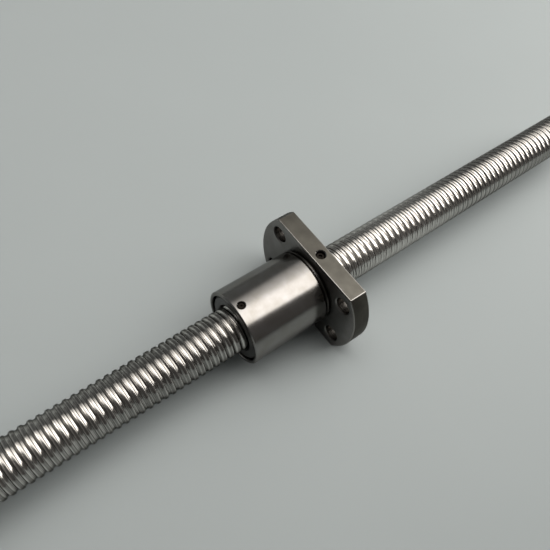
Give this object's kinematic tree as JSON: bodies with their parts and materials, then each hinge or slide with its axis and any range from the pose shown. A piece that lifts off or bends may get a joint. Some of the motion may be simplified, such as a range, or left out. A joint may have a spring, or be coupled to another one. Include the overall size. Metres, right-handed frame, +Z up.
{
  "type": "miniature ball screw",
  "caption": "Straight ball screw with a flanged round ball nut that turns rotation into travel along the screw; two flats and bolt holes on the flange.",
  "frame": {"origin": "on the surface that the flange's lower flat stands on, midway along the screw and under its axis", "axes": "+X along the screw, from the nut's body end towards its flange; +Z up through the flange's upper flat"},
  "size_m": [0.22, 0.037, 0.024],
  "materials": {
    "screw_steel": "induction-hardened steel, ground and polished",
    "nut_steel": "fine-ground steel, satin",
    "ring_plastic": "dark grey moulded plastic",
    "wiper_plastic": "grey moulded plastic",
    "grub_steel": "blackened steel",
    "deflector_steel": "sintered steel",
    "ball_steel": "polished bearing steel"
  },
  "bodies": {
    "nut": {"nut_body": "nut_steel", "end_ring_body_end": "ring_plastic", "end_ring_flange_end": "ring_plastic", "grub_screw_body_end": "grub_steel", "grub_screw_flange_end": "grub_steel", "deflector_1": "deflector_steel", "deflector_2": "deflector_steel", "deflector_3": "deflector_steel", "ball_row_1": "ball_steel", "ball_row_2": "ball_steel", "ball_row_3": "ball_steel", "ball_1_1": "ball_steel", "ball_1_2": "ball_steel", "ball_1_3": "ball_steel", "ball_1_4": "ball_steel", "ball_1_5": "ball_steel", "ball_1_6": "ball_steel", "ball_2_1": "ball_steel", "ball_2_2": "ball_steel", "ball_2_3": "ball_steel", "ball_2_4": "ball_steel", "ball_2_5": "ball_steel", "ball_2_6": "ball_steel", "ball_3_1": "ball_steel", "ball_3_2": "ball_steel", "ball_3_3": "ball_steel", "ball_3_4": "ball_steel", "ball_3_5": "ball_steel", "ball_3_6": "ball_steel"},
    "wipers": {"wiper_ring_body_end": "wiper_plastic", "wiper_ring_flange_end": "wiper_plastic"},
    "screw": {"screw_shaft": "screw_steel"}
  },
  "joints": [
    {"name": "screw_spin", "type": "hinge", "parent": "nut", "child": "wipers", "pos_m": [0, 0, 0.012], "axis": [1, 0, 0], "range_deg": [-19620, 14400]},
    {"name": "screw_travel", "type": "slide", "parent": "wipers", "child": "screw", "axis": [1, 0, 0], "range_m": [-0.1091, 0.0801]}
  ],
  "couplings": [
    {"joint": "screw_spin", "follows": "screw_travel", "rad_per_m": 3141.6}
  ]
}
